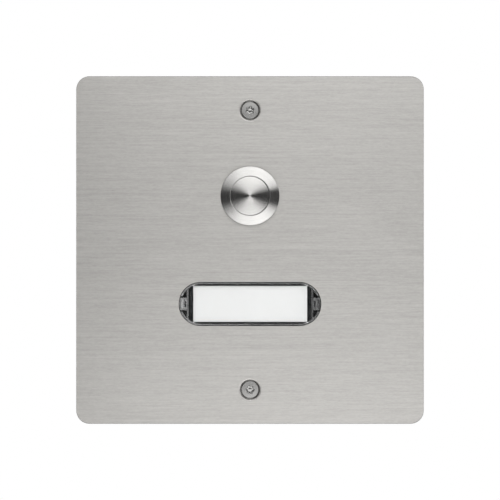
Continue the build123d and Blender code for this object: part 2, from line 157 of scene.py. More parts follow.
def makeBrushedLines(size):
    tree, given, result = newGroup(
        "brushedLines", "ShaderNodeTree",
        {"Vector": "Vector", "Along": "Float", "Across": "Float"}, {"Lines": "Float", "Bands": "Float"})
    lines = size["offset"]
    for length in size["lengths"]:
        along = addMath(tree, "MULTIPLY", given["Along"], length)
        stretch = joinAxes(tree, {"X": along, "Y": given["Across"], "Z": given["Across"]})
        stretched = addVectorMath(tree, "MULTIPLY", given["Vector"], stretch)
        strokes = addNoise(tree, stretched, 1.0, detail=3.0, roughness=0.6)
        lines = addMath(tree, "MULTIPLY_ADD", strokes, size["share"], lines)
    bands = addNoise(tree, stretched, size["bandScale"], detail=2.0)
    connect(tree, result, {"Lines": lines, "Bands": bands})
    return tree


# Rings left by a turning tool
def makeTurnedRings():
    tree, given, result = newGroup(
        "turnedRings", "ShaderNodeTree",
        {"Vector": "Vector", "Centre": "Vector", "Density": "Float"}, {"Rings": "Float", "Radius": "Float"})
    radius = addVectorMath(tree, "LENGTH", flatOffset(tree, given["Vector"], given["Centre"]))
    steps = addMath(tree, "MULTIPLY", radius, given["Density"])
    grooves = addNode(tree, "ShaderNodeTexNoise", {"W": steps, "Scale": 1.0, "Detail": 3.0, "Roughness": 0.65},
                      noise_dimensions="1D")
    connect(tree, result, {"Rings": grooves.outputs[0], "Radius": radius})
    return tree


# Fine grain of a moulded or blasted surface, with a broad drift in tone
grainSize = {"flowScale": 0.06, "speckScale": 1.7, "speckShare": 0.5}


def makeMouldedGrain(size):
    tree, given, result = newGroup(
        "mouldedGrain", "ShaderNodeTree",
        {"Vector": "Vector", "Density": "Float"}, {"Grain": "Float", "Tone": "Float"})
    place, density = given["Vector"], given["Density"]
    cells = addNode(tree, "ShaderNodeTexVoronoi", {"Vector": place, "Scale": density}, feature="SMOOTH_F1")
    flow = addNoise(tree, place, addMath(tree, "MULTIPLY", density, size["flowScale"]), detail=4.0, roughness=0.6)
    speck = addNoise(tree, place, addMath(tree, "MULTIPLY", density, size["speckScale"]), detail=2.0)
    grain = addMath(tree, "MULTIPLY_ADD", speck, size["speckShare"], cells.outputs["Distance"])
    connect(tree, result, {"Grain": grain, "Tone": flow})
    return tree


# Marks of handling: soft smudges and a few hairline scratches
marksSize = {
    "smudgeSpan": (0.42, 0.68),
    "scratchTurn": 27.0, "scratchStretch": (30.0, 30.0, 2600.0), "scratchSpan": (0.72, 0.80),
}


def makeHandlingMarks(size):
    tree, given, result = newGroup(
        "handlingMarks", "ShaderNodeTree",
        {"Vector": "Vector", "Density": "Float"}, {"Smudge": "Float", "Scratch": "Float"})
    cloud = addNoise(tree, given["Vector"], given["Density"], detail=5.0, roughness=0.55, distortion=0.6)
    turned = addNode(tree, "ShaderNodeVectorRotate", {
        "Vector": given["Vector"], "Axis": (0.0, 1.0, 0.0), "Angle": math.radians(size["scratchTurn"])})
    drawn = addVectorMath(tree, "MULTIPLY", turned.outputs[0], size["scratchStretch"])
    hairline = addNoise(tree, drawn, 1.0, detail=1.0)
    connect(tree, result, {
        "Smudge": addRange(tree, cloud, *size["smudgeSpan"], smooth=True),
        "Scratch": addRange(tree, hairline, *size["scratchSpan"], smooth=True),
    })
    return tree


brushedLines = makeBrushedLines(brushSize)
turnedRings = makeTurnedRings()
mouldedGrain = makeMouldedGrain(grainSize)
handlingMarks = makeHandlingMarks(marksSize)
print("shader groups made")


# Brushed sheet of the face plate
plateFinish = {
    "dark": (0.34, 0.332, 0.319), "light": (0.441, 0.431, 0.415),
    "millDark": (0.355, 0.348, 0.336), "millLight": (0.445, 0.438, 0.425),   # cut edges and rear, as rolled
    "linesAlong": 230.0, "linesAcross": 2700.0,   # per metre, so strokes are about 1, 4 and 20 mm long
    "bandShare": 0.2, "strokeSpan": (0.28, 0.72), "strokeBump": (0.05, 0.004 * mm),
    "rolling": (620.0, 620.0, 24.0), "rollingSmudge": 0.3, "millSpan": (0.3, 0.9),
    "roughness": (0.295, 0.325), "smudgeRoughness": 0.008, "marksPerMetre": 34.0,
    "anisotropic": 0.67,
    "edgeReach": (0.01 * mm, 0.2 * mm),           # where the brushed front gives way to the cut edge
    "fixing": (0.0, 0.0, fixingHeight * mm),
    "rolledEdge": (3.75 * mm, 4.3 * mm), "rolledDepth": 0.07 * mm,   # the sheet dips a little round each screw
}


def makePlateSteel(finish):
    material, tree, shader = newMaterial("plateSteel", {"Metallic": 1.0, "Anisotropic": finish["anisotropic"]})
    coords = objectCoordinates(tree)
    lines = placeGroup(tree, brushedLines, {
        "Vector": coords, "Along": finish["linesAlong"], "Across": finish["linesAcross"]})
    marks = placeGroup(tree, handlingMarks, {"Vector": coords, "Density": finish["marksPerMetre"]})
    fineShare = addMath(tree, "MULTIPLY", lines["Lines"], 1.0 - finish["bandShare"])
    stroke = addMath(tree, "MULTIPLY_ADD", lines["Bands"], finish["bandShare"], fineShare)
    brushed = addMix(tree, addRange(tree, stroke, *finish["strokeSpan"]), finish["dark"], finish["light"])
    rolling = addNoise(tree, addVectorMath(tree, "MULTIPLY", coords, finish["rolling"]), 1.0, detail=4.0, roughness=0.6)
    mottle = addMath(tree, "MULTIPLY_ADD", marks["Smudge"], finish["rollingSmudge"], rolling)
    milled = addMix(tree, addRange(tree, mottle, *finish["millSpan"]), finish["millDark"], finish["millLight"])
    edgeStart, edgeEnd = (reach - plateFront * mm for reach in finish["edgeReach"])
    edge = addRange(tree, splitAxes(tree, coords)["Y"], edgeStart, edgeEnd)
    rough = addRange(tree, lines["Lines"], *noiseSpan, *finish["roughness"])
    folded = addVectorMath(tree, "ABSOLUTE", coords)                 # both screw holes at once
    fromHole = addVectorMath(tree, "LENGTH", flatOffset(tree, folded, finish["fixing"]))
    rolled = addBump(tree, addRange(tree, fromHole, *finish["rolledEdge"], smooth=True), 1.0, finish["rolledDepth"])
    connect(tree, shader, {
        "Base Color": addMix(tree, edge, brushed, milled),
        "Roughness": addMath(tree, "MULTIPLY_ADD", marks["Smudge"], finish["smudgeRoughness"], rough),
        "Normal": addBump(tree, lines["Lines"], *finish["strokeBump"], rolled),
        "Tangent": joinAxes(tree, {"Z": 1.0}),                       # highlights spread across the strokes
    })
    return material


# Turned steel of the button
buttonFinish = {
    "dark": (0.52, 0.513, 0.50), "light": (0.605, 0.598, 0.585),
    "rimShare": 0.93, "rimStart": 7.3 * mm,       # the rim is a little darker than the cap
    "centre": (0.0, 0.0, buttonHeight * mm), "ringsPerMetre": 5200.0, "ringBump": (0.04, 0.004 * mm),
    "roughness": (0.19, 0.216), "smudgeRoughness": 0.02, "marksPerMetre": 120.0,
    "anisotropic": 0.975,
}


def makeButtonSteel(finish):
    material, tree, shader = newMaterial("buttonSteel", {"Metallic": 1.0, "Anisotropic": finish["anisotropic"]})
    coords = objectCoordinates(tree)
    rings = placeGroup(tree, turnedRings, {
        "Vector": coords, "Centre": finish["centre"], "Density": finish["ringsPerMetre"]})
    marks = placeGroup(tree, handlingMarks, {"Vector": coords, "Density": finish["marksPerMetre"]})
    turned = addMix(tree, addRange(tree, rings["Rings"], *noiseSpan), finish["dark"], finish["light"])
    onRim = addMath(tree, "GREATER_THAN", rings["Radius"], finish["rimStart"])
    dimmed = addRange(tree, onRim, 0.0, 1.0, 1.0, finish["rimShare"])
    rough = addRange(tree, rings["Rings"], *noiseSpan, *finish["roughness"])
    connect(tree, shader, {
        "Base Color": addVectorMath(tree, "SCALE", turned, dimmed),
        "Roughness": addMath(tree, "MULTIPLY_ADD", marks["Smudge"], finish["smudgeRoughness"], rough),
        "Normal": addBump(tree, rings["Rings"], *finish["ringBump"]),
        "Tangent": addVectorMath(tree, "NORMALIZE", flatOffset(tree, coords, finish["centre"])),
    })
    return material


# Plain stainless of the fixing screws
screwFinish = {
    "dark": (0.25, 0.247, 0.24), "light": (0.345, 0.342, 0.336),
    "fixing": (0.0, 0.0, fixingHeight * mm),
    "ringsPerMetre": 4200.0, "grainPerMetre": 5200.0, "ringShare": 0.5, "bump": (0.2, 0.008 * mm),
    "roughness": (0.26, 0.40),
    "driveRadius": 1.8 * mm, "driveTop": 3.08 * mm, "driveShare": 0.55,   # the recess is smoother than the face
}


def makeScrewSteel(finish):
    material, tree, shader = newMaterial("screwSteel", {"Metallic": 1.0})
    place = objectCoordinates(tree)
    coords = addVectorMath(tree, "ABSOLUTE", place)                  # both screws share one axis this way
    rings = placeGroup(tree, turnedRings, {
        "Vector": coords, "Centre": finish["fixing"], "Density": finish["ringsPerMetre"]})
    grain = placeGroup(tree, mouldedGrain, {"Vector": coords, "Density": finish["grainPerMetre"]})
    turned = addMath(tree, "MULTIPLY", rings["Rings"], finish["ringShare"])
    mixed = addMath(tree, "MULTIPLY_ADD", grain["Tone"], 1.0 - finish["ringShare"], turned)
    nearAxis = addMath(tree, "LESS_THAN", rings["Radius"], finish["driveRadius"])
    belowFace = addMath(tree, "GREATER_THAN", splitAxes(tree, place)["Y"], -finish["driveTop"])
    inDrive = addMath(tree, "MULTIPLY", nearAxis, belowFace)
    smoother = addRange(tree, inDrive, 0.0, 1.0, 1.0, finish["driveShare"])
    rough = addRange(tree, mixed, *noiseSpan, *finish["roughness"])
    connect(tree, shader, {
        "Base Color": addMix(tree, addRange(tree, mixed, *noiseSpan), finish["dark"], finish["light"]),
        "Roughness": addMath(tree, "MULTIPLY", rough, smoother),
        "Normal": addBump(tree, mixed, *finish["bump"]),
    })
    return material


# Drawn or rolled metals: nut and studs, spring wire and clips, contact strips
drawnSurface = {"marksPerMetre": 210.0, "smudge": -0.22, "span": (0.15, 0.7), "bump": (0.25, 0.01 * mm)}
drawnMetals = {
    "nutSteel": {"dark": (0.48, 0.47, 0.45), "light": (0.63, 0.62, 0.595), "roughness": (0.24, 0.38),
                 "turn": 90.0, "along": 160.0, "across": 3600.0},
    "springSteel": {"dark": (0.33, 0.33, 0.335), "light": (0.50, 0.50, 0.50), "roughness": (0.28, 0.45),
                    "turn": 0.0, "along": 220.0, "across": 5200.0},
    "contactBrass": {"dark": (0.50, 0.34, 0.13), "light": (0.78, 0.58, 0.27), "roughness": (0.22, 0.42),
                     "turn": 90.0, "along": 120.0, "across": 4200.0},
}


def makeDrawnMetal(name, finish, surface):
    material, tree, shader = newMaterial(name, {"Metallic": 1.0})
    coords = objectCoordinates(tree)
    turned = addNode(tree, "ShaderNodeMapping", {
        "Vector": coords, "Rotation": (0.0, 0.0, math.radians(finish["turn"]))}).outputs[0]
    lines = placeGroup(tree, brushedLines, {"Vector": turned, "Along": finish["along"], "Across": finish["across"]})
    marks = placeGroup(tree, handlingMarks, {"Vector": coords, "Density": surface["marksPerMetre"]})
    tone = addMath(tree, "MULTIPLY_ADD", marks["Smudge"], surface["smudge"], lines["Lines"])
    low, high = finish["roughness"]
    connect(tree, shader, {
        "Base Color": addMix(tree, addRange(tree, tone, *surface["span"]), finish["dark"], finish["light"]),
        "Roughness": addRange(tree, tone, *surface["span"], high, low),
        "Normal": addBump(tree, lines["Lines"], *surface["bump"]),
    })
    return material


# Moulded plastics and rubber
mouldSurface = {
    "ior": 1.5, "marksPerMetre": 90.0, "smudge": 0.25, "toneSpan": (0.3, 0.9), "grainSpan": (0.2, 1.0), "bump": 0.4,
}
mouldings = {
    "basePlastic": {"dark": (0.012, 0.012, 0.0125), "light": (0.026, 0.026, 0.027), "density": 2600.0,
                    "roughness": (0.42, 0.58), "depth": 0.02 * mm, "specular": 0.5},
    "trayPlastic": {"dark": (0.006, 0.0062, 0.0065), "light": (0.013, 0.0133, 0.0137), "density": 3000.0,
                    "roughness": (0.20, 0.28), "depth": 0.004 * mm, "specular": 0.2},
    "sealRubber": {"dark": (0.008, 0.008, 0.008), "light": (0.022, 0.022, 0.021), "density": 4200.0,
                   "roughness": (0.62, 0.82), "depth": 0.02 * mm, "specular": 0.4},
}


def makeMoulding(name, finish, surface):
    material, tree, shader = newMaterial(name, {
        "Metallic": 0.0, "IOR": surface["ior"], "Specular IOR Level": finish["specular"]})
    coords = objectCoordinates(tree)
    grain = placeGroup(tree, mouldedGrain, {"Vector": coords, "Density": finish["density"]})
    marks = placeGroup(tree, handlingMarks, {"Vector": coords, "Density": surface["marksPerMetre"]})
    tone = addMath(tree, "MULTIPLY_ADD", marks["Smudge"], surface["smudge"], grain["Tone"])
    connect(tree, shader, {
        "Base Color": addMix(tree, addRange(tree, tone, *surface["toneSpan"]), finish["dark"], finish["light"]),
        "Roughness": addRange(tree, grain["Grain"], *surface["grainSpan"], *finish["roughness"]),
        "Normal": addBump(tree, grain["Grain"], surface["bump"], finish["depth"]),
    })
    return material


# Closed-cell foam of the wall gasket, its pores painted darker as shade in their hollows
foamFinish = {
    "skin": (0.030, 0.030, 0.032), "skinLight": (0.045, 0.045, 0.047), "lightShare": 0.6,
    # painted shade: the colour of the pore hollows
    "poreShade": (0.006, 0.006, 0.0065), "poresPerMetre": 1900.0, "poreSpan": (0.12, 0.42),
    "grainPerMetre": 900.0, "grainShare": 0.3, "roughness": (0.95, 0.72), "bump": (0.6, 0.12 * mm),
}


def makeGasketFoam(finish):
    material, tree, shader = newMaterial("gasketFoam", {"Metallic": 0.0})
    coords = objectCoordinates(tree)
    pores = addNode(tree, "ShaderNodeTexVoronoi", {"Vector": coords, "Scale": finish["poresPerMetre"]})
    grain = placeGroup(tree, mouldedGrain, {"Vector": coords, "Density": finish["grainPerMetre"]})
    openness = addRange(tree, pores.outputs["Distance"], *finish["poreSpan"], smooth=True)
    lightness = addRange(tree, grain["Tone"], *noiseSpan, 0.0, finish["lightShare"])
    skin = addMix(tree, lightness, finish["skin"], finish["skinLight"])
    height = addMath(tree, "MULTIPLY_ADD", grain["Grain"], finish["grainShare"], openness)
    # the pores are darker in colour: painted shade where the bump dips
    connect(tree, shader, {
        "Base Color": addMix(tree, openness, finish["poreShade"], skin),
        "Roughness": addRange(tree, openness, 0.0, 1.0, *finish["roughness"]),
        "Normal": addBump(tree, height, *finish["bump"]),
    })
    return material


# Clear cover: polished, with a trace of wiping marks, and it lets the lamps reach the card
coverFinish = {
    "tint": (0.985, 0.99, 0.99), "ior": 1.49,
    "roughness": (0.012, 0.05), "marksPerMetre": 150.0, "smudgeShare": 0.3,
    "centre": (0.0, 0.0, -20.2 * mm),             # middle of the cover
    "halfLength": 26.45 * mm, "halfHeight": 8.0 * mm, "bevel": 0.62 * mm,
    # forms at both ends, and a painted highlight bar on the left end: start and end from the middle, half height
    "rib": (23.0 * mm, 23.65 * mm, 6.9 * mm), "tongue": (23.65 * mm, 26.45 * mm, 2.35 * mm),
    "slot": (24.0 * mm, 24.45 * mm, 1.15 * mm), "leftHighlightBar": (25.1 * mm, 25.75 * mm, 1.75 * mm),
    # moulded matt, as a share of the coat; the left bar's share is a painted highlight
    "satin": {"bevel": 1.0, "rib": 0.25, "tongue": 0.42, "leftHighlightBar": 1.0},
    # painted shade: the satin sheen is weaker on the right end and along the long runs, so the left end reads lighter
    "rightShadeShare": 0.45, "runShadeShare": 0.35, "endReach": (-2.0 * mm, 4.0 * mm),   # weaker on the right and the long runs
    "satinRoughness": 0.5, "satinIor": 3.5, "specksPerMetre": 2400.0, "speckShare": 0.8,
}


def makeCoverClear(finish):
    material, tree, shader = newMaterial("coverClear", {
        "Metallic": 0.0, "Transmission Weight": 1.0, "IOR": finish["ior"], "Base Color": (*finish["tint"], 1.0),
        "Coat Roughness": finish["satinRoughness"], "Coat IOR": finish["satinIor"]})
    coords = objectCoordinates(tree)
    away = splitAxes(tree, addVectorMath(
        tree, "ABSOLUTE", addVectorMath(tree, "SUBTRACT", coords, finish["centre"])))
    across, up = away["X"], away["Z"]

    def within(low, high, halfHeight):
        inReach = addMath(tree, "MULTIPLY", addMath(tree, "GREATER_THAN", across, low),
                          addMath(tree, "LESS_THAN", across, high))
        return addMath(tree, "MULTIPLY", inReach, addMath(tree, "LESS_THAN", up, halfHeight))

    straight = finish["halfLength"] - finish["halfHeight"]
    pastStraight = addMath(tree, "MAXIMUM", addMath(tree, "SUBTRACT", across, straight), 0.0)
    fromSpine = addVectorMath(tree, "LENGTH", joinAxes(tree, {"X": pastStraight, "Z": up}))
    endStart, endFull = (straight + reach for reach in finish["endReach"])
    # painted shade: the rim's sheen fades from the ends to the long runs
    onEnd = addRange(tree, across, endStart, endFull, finish["runShadeShare"], 1.0)
    nearRim = addMath(tree, "GREATER_THAN", fromSpine, finish["halfHeight"] - finish["bevel"])
    onLeft = addMath(tree, "LESS_THAN", splitAxes(tree, coords)["X"], 0.0)
    masks = {
        "bevel": addMath(tree, "MULTIPLY", nearRim, onEnd),
        "rib": within(*finish["rib"]),
        "tongue": addMath(tree, "SUBTRACT", within(*finish["tongue"]), within(*finish["slot"])),
        # painted highlight: a bright satin bar on the left tongue only
        "leftHighlightBar": addMath(tree, "MULTIPLY", within(*finish["leftHighlightBar"]), onLeft),
    }
    satin = 0.0
    for name, mask in masks.items():
        satin = addMath(tree, "MAXIMUM", satin, addMath(tree, "MULTIPLY", mask, finish["satin"][name]))
    speck = addNoise(tree, coords, finish["specksPerMetre"], detail=2.0)
    satin = addMath(tree, "MULTIPLY", satin, addRange(tree, speck, *noiseSpan, finish["speckShare"], 1.0))
    # painted shade: the whole satin sheen is weaker on the right end
    satin = addMath(tree, "MULTIPLY", satin, addRange(tree, onLeft, 0.0, 1.0, finish["rightShadeShare"], 1.0))
    marks = placeGroup(tree, handlingMarks, {"Vector": coords, "Density": finish["marksPerMetre"]})
    smudge = addMath(tree, "MULTIPLY", marks["Smudge"], finish["smudgeShare"])
    wear = addMath(tree, "MAXIMUM", marks["Scratch"], smudge)
    connect(tree, shader, {
        "Roughness": addRange(tree, wear, 0.0, 1.0, *finish["roughness"]), "Coat Weight": satin})
    path = addNode(tree, "ShaderNodeLightPath")
    clear = addNode(tree, "ShaderNodeBsdfTransparent")
    mixed = addNode(tree, "ShaderNodeMixShader", {
        0: path.outputs["Is Shadow Ray"], 1: shader.outputs[0], 2: clear.outputs[0]})
    connect(tree, tree.nodes["Material Output"], {"Surface": mixed.outputs[0]})
    return material


# Blank card
cardFinish = {
    "white": (0.95, 0.95, 0.945), "shade": (0.925, 0.925, 0.918), "specular": 0.25,
    "fibresPerMetre": 900.0, "fibreStretch": (1.0, 1.0, 2.4), "fibreSpan": (0.35, 0.65),
    "roughness": (0.62, 0.5), "bump": (0.15, 0.02 * mm),
}


def makeLabelCard(finish):
    material, tree, shader = newMaterial("labelCard", {
        "Metallic": 0.0, "Specular IOR Level": finish["specular"]})
    strewn = addVectorMath(tree, "MULTIPLY", objectCoordinates(tree), finish["fibreStretch"])
    fibres = addNoise(tree, strewn, finish["fibresPerMetre"], detail=6.0, roughness=0.7, distortion=1.4)
    tone = addRange(tree, fibres, *finish["fibreSpan"])
    connect(tree, shader, {
        "Base Color": addMix(tree, tone, finish["shade"], finish["white"]),
        "Roughness": addRange(tree, tone, 0.0, 1.0, *finish["roughness"]),
        "Normal": addBump(tree, fibres, *finish["bump"]),
    })
    return material


materials = {
    "plateSteel": makePlateSteel(plateFinish),
    "buttonSteel": makeButtonSteel(buttonFinish),
    "screwSteel": makeScrewSteel(screwFinish),
    "gasketFoam": makeGasketFoam(foamFinish),
    "coverClear": makeCoverClear(coverFinish),
    "labelCard": makeLabelCard(cardFinish),
}
for name, finish in drawnMetals.items():
    materials[name] = makeDrawnMetal(name, finish, drawnSurface)
for name, finish in mouldings.items():
    materials[name] = makeMoulding(name, finish, mouldSurface)
print("materials made:", len(materials))


# Turned shapes: rings of points about the Y axis, from corners of radius, height before the wall and rounding
turning = {"roundSteps": 4, "sideShare": 0.4, "supportReach": 1.2}


def roundCorners(corners):
    steps, points, last = turning["roundSteps"], [], len(corners) - 1
    for index, (radius, height, rounding) in enumerate(corners):
        here = Vector((radius, height))
        if rounding <= 0 or index in (0, last):
            points.append(here)
            continue
        before = Vector(corners[index - 1][:2]) - here
        after = Vector(corners[index + 1][:2]) - here
        reach = min(rounding, before.length * turning["sideShare"], after.length * turning["sideShare"])
        start, end = before.normalized() * reach, after.normalized() * reach
        points.append(here + start * turning["supportReach"])        # keeps the flat beside the rounding flat
        for step in range(steps + 1):
            t = step / steps
            points.append(here + start * (1 - t) ** 2 + end * t ** 2)
        points.append(here + end * turning["supportReach"])
    return [tuple(point) for point in points]


def turnedMesh(name, rings, steps, lobes=6):
    # a ring is (radius, height) or (radius, height, lobe), where lobe waves the radius
    mesh = bmesh.new()
    rows = []
    for ring in rings:
        radius, height = ring[0] * mm, ring[1] * mm
        lobe = ring[2] * mm if len(ring) > 2 else 0.0
        if radius == 0.0:
            rows.append([mesh.verts.new((0.0, -height, 0.0))])
            continue
        row = []
        for step in range(steps):
            angle = 2 * math.pi * step / steps
            reach = radius + lobe * math.cos(lobes * angle)
            row.append(mesh.verts.new((reach * math.cos(angle), -height, reach * math.sin(angle))))
        rows.append(row)
    for inner, outer in zip(rows, rows[1:]):
        for step in range(steps):
            following = (step + 1) % steps
            if len(inner) == 1:
                mesh.faces.new((inner[0], outer[step], outer[following]))
            elif len(outer) == 1:
                mesh.faces.new((inner[step], inner[following], outer[0]))
            else:
                mesh.faces.new((inner[step], outer[step], outer[following], inner[following]))
    piece = newPiece(name)
    mesh.to_mesh(piece.data)
    mesh.free()
    return piece


def newPiece(name):
    piece = bpy.data.objects.new(name, bpy.data.meshes.new(name))
    bpy.context.scene.collection.objects.link(piece)
    return piece


def finishMesh(piece, sharpAngle):
    mesh = bmesh.new()
    mesh.from_mesh(piece.data)
    bmesh.ops.remove_doubles(mesh, verts=mesh.verts, dist=weld)
    bmesh.ops.recalc_face_normals(mesh, faces=mesh.faces)
    mesh.to_mesh(piece.data)
    mesh.free()
    piece.data.shade_smooth()
    piece.data.set_sharp_from_angle(angle=math.radians(sharpAngle))


def setTree(piece, tree, values):
    modifier = piece.modifiers.new("build", "NODES")
    modifier.node_group = tree
    for item in tree.interface.items_tree:
        if item.item_type == "SOCKET" and item.in_out == "INPUT" and item.name in values:
            modifier[item.identifier] = values[item.name]


def bakeTree(piece):
    bpy.context.view_layer.update()
    evaluated = piece.evaluated_get(bpy.context.evaluated_depsgraph_get())
    data = bpy.data.meshes.new_from_object(evaluated)
    piece.modifiers.clear()
    piece.data = data
    data.name = piece.name


def endTree(tree, geometry, material, result):
    real = addNode(tree, "GeometryNodeRealizeInstances", {"Geometry": geometry})
    dressed = addNode(tree, "GeometryNodeSetMaterial", {"Geometry": real.outputs[0], "Material": material})
    connect(tree, result, {"Geometry": dressed.outputs[0]})


# Geometry Nodes tree: winds a screw thread round a turned blank, then sets copies of it in place
threadForm = {"flankSpan": (0.08, 0.42), "runOutRings": 6.0}         # flats on the root and the crest


def makeThreadTree(form):
    tree, given, result = newGroup("threadedTurning", "GeometryNodeTree", {
        "Geometry": "Geometry", "Crest Radius": "Float", "Depth": "Float", "Pitch": "Float", "Start": "Float",
        "End": "Float", "Steps": "Int", "Rings": "Int", "Copies": "Int", "Place": "Vector", "Spacing": "Vector",
        "Turn": "Float", "Seed": "Int", "Material": "Material"}, {"Geometry": "Geometry"})
    grid = addNode(tree, "GeometryNodeMeshGrid", {
        "Size X": 1.0, "Size Y": 1.0, "Vertices X": addMath(tree, "ADD", given["Steps"], 1.0),
        "Vertices Y": addMath(tree, "ADD", given["Rings"], 1.0)})
    spot = splitAxes(tree, addNode(tree, "GeometryNodeInputPosition").outputs[0])
    around = addMath(tree, "ADD", spot["X"], 0.5)                    # the grid runs from -0.5 to 0.5
    along = addMath(tree, "ADD", spot["Y"], 0.5)
    height = addRange(tree, along, 0.0, 1.0, given["Start"], given["End"])
    turns = addMath(tree, "SUBTRACT", addMath(tree, "DIVIDE", height, given["Pitch"]), around)
    wave = addMath(tree, "PINGPONG", turns, 0.5)                     # 0 in the root and 0.5 on the crest
    flank = addRange(tree, wave, *form["flankSpan"])
    nearEnd = addMath(tree, "MINIMUM", along, addMath(tree, "SUBTRACT", 1.0, along))
    runOut = addRange(tree, addMath(tree, "MULTIPLY", nearEnd, given["Rings"]), 0.0, form["runOutRings"])
    lift = addMath(tree, "MULTIPLY", addMath(tree, "MULTIPLY", flank, runOut), given["Depth"])
    radius = addMath(tree, "ADD", addMath(tree, "SUBTRACT", given["Crest Radius"], given["Depth"]), lift)
    angle = addMath(tree, "MULTIPLY", around, 2 * math.pi)
    wound = joinAxes(tree, {
        "X": addMath(tree, "MULTIPLY", radius, addMath(tree, "COSINE", angle)),
        "Y": addMath(tree, "MULTIPLY", height, -1.0),
        "Z": addMath(tree, "MULTIPLY", radius, addMath(tree, "SINE", angle))})
    thread = addNode(tree, "GeometryNodeSetPosition", {"Geometry": grid.outputs["Mesh"], "Position": wound})
    joined = addNode(tree, "GeometryNodeJoinGeometry")
    for geometry in (given["Geometry"], thread.outputs[0]):
        tree.links.new(geometry, joined.inputs[0])
    whole = addNode(tree, "GeometryNodeMergeByDistance", {"Geometry": joined.outputs[0], "Distance": weld})
    places = addNode(tree, "GeometryNodeMeshLine", {
        "Count": given["Copies"], "Start Location": given["Place"], "Offset": given["Spacing"]})
    anyTurn = addNode(tree, "FunctionNodeRandomValue", {"Seed": given["Seed"]}, data_type="FLOAT")
    tree.links.new(given["Turn"], anyTurn.inputs[3])                 # inputs 2 and 3 are the float's limits
    copies = addNode(tree, "GeometryNodeInstanceOnPoints", {
        "Points": places.outputs["Mesh"], "Instance": whole.outputs["Geometry"],
        "Rotation": joinAxes(tree, {"Y": anyTurn.outputs[1]})})
    endTree(tree, copies.outputs[0], given["Material"], result)
    return tree


threadTree = makeThreadTree(threadForm)


def windThread(piece, size, material, values):
    lengths = {"Crest Radius": "threadRadius", "Depth": "threadDepth", "Pitch": "threadPitch",
               "Start": "threadStart", "End": "threadEnd"}
    setTree(piece, threadTree, {
        **{socket: size[key] * mm for socket, key in lengths.items()},
        "Steps": size["steps"], "Rings": size["rings"], "Material": material, **values})
    bakeTree(piece)
    finishMesh(piece, size["sharpAngle"])


# Button housing: sloping rim, bore, web and threaded bush
housing = {
    "boreRadius": 7.37, "boreEdgeWidth": 0.2, "boreEdgeDepth": 0.1,
    "rimTop": 5.9, "rimEdge": 5.25, "rimRadius": 11.0, "rimBack": 4.0,
    "threadRadius": 9.5, "threadDepth": 0.55, "threadPitch": 1.0, "threadStart": 3.4, "threadEnd": -12.1,
    "bushBack": -12.5, "backBore": 7.62, "webFront": -3.7, "webBack": -5.7, "guideRadius": 2.58,
    "steps": 160, "rings": 124, "axisHeight": buttonHeight, "sharpAngle": 24, "seed": 1,
}


def makeHousing(size, material):
    root = size["threadRadius"] - size["threadDepth"]
    rim, bore, guide, backBore = (size[key] for key in ("rimRadius", "boreRadius", "guideRadius", "backBore"))
    corners = [
        (root, size["threadStart"], 0), (root, size["rimBack"], 0.1),
        (rim, size["rimBack"], 0.12), (rim, size["rimEdge"], 0.1),
        (bore + size["boreEdgeWidth"], size["rimTop"], 0.06), (bore, size["rimTop"] - size["boreEdgeDepth"], 0.06),
        (bore, size["webFront"], 0.1), (guide, size["webFront"], 0.1),
        (guide, size["webBack"], 0.1), (backBore, size["webBack"], 0.1),
        (backBore, size["bushBack"], 0.12), (root, size["bushBack"], 0.12), (root, size["threadEnd"], 0),
    ]
    piece = turnedMesh("housing_turned", roundCorners(corners), size["steps"])
    windThread(piece, size, material, {
        "Copies": 1, "Place": (0.0, 0.0, size["axisHeight"] * mm), "Spacing": (0.0, 0.0, 0.0),
        "Turn": 0.0, "Seed": size["seed"]})
    return piece


# Button cap with its stem
cap = {
    "radius": 7.25, "top": 5.9, "crown": 0.3, "crownSteps": 14, "edge": 0.06, "back": 2.3,
    "grooveFront": 4.6, "grooveBack": 3.5, "grooveRadius": 6.32,
    "stemRadius": 2.5, "clipFront": -5.7, "clipBack": -6.4, "clipRadius": 1.95, "stemEnd": -9.0,
    "steps": 160, "axisHeight": buttonHeight, "sharpAngle": 24,
    "offCentre": -0.04,                           # it sits to the left in its bore
}


def makeCap(size, material):
    rim, face = size["top"] - size["crown"], size["radius"] - size["edge"]
    radius, groove, stem, clip = (size[key] for key in ("radius", "grooveRadius", "stemRadius", "clipRadius"))
    corners = []
    for step in range(size["crownSteps"]):        # the face is a shallow dome
        share = step / size["crownSteps"]
        corners.append((share * face, size["top"] - size["crown"] * share ** 2, 0))
    corners += [
        (face, rim, 0.05), (radius, rim - size["edge"], 0.05),
        (radius, size["grooveFront"], 0.08), (groove, size["grooveFront"], 0.05),
        (groove, size["grooveBack"], 0.05), (radius, size["grooveBack"], 0.08),
        (radius, size["back"], 0.15), (stem, size["back"], 0.2),
        (stem, size["clipFront"], 0.04), (clip, size["clipFront"], 0.04),
        (clip, size["clipBack"], 0.04), (stem, size["clipBack"], 0.04),
        (stem, size["stemEnd"], 0.2), (0.0, size["stemEnd"], 0),
    ]
    piece = turnedMesh("cap_turned", roundCorners(corners), size["steps"])
    piece.data.transform(Matrix.Translation((size["offCentre"] * mm, 0.0, size["axisHeight"] * mm)))
    piece.data.materials.append(material)
    finishMesh(piece, size["sharpAngle"])
    return piece


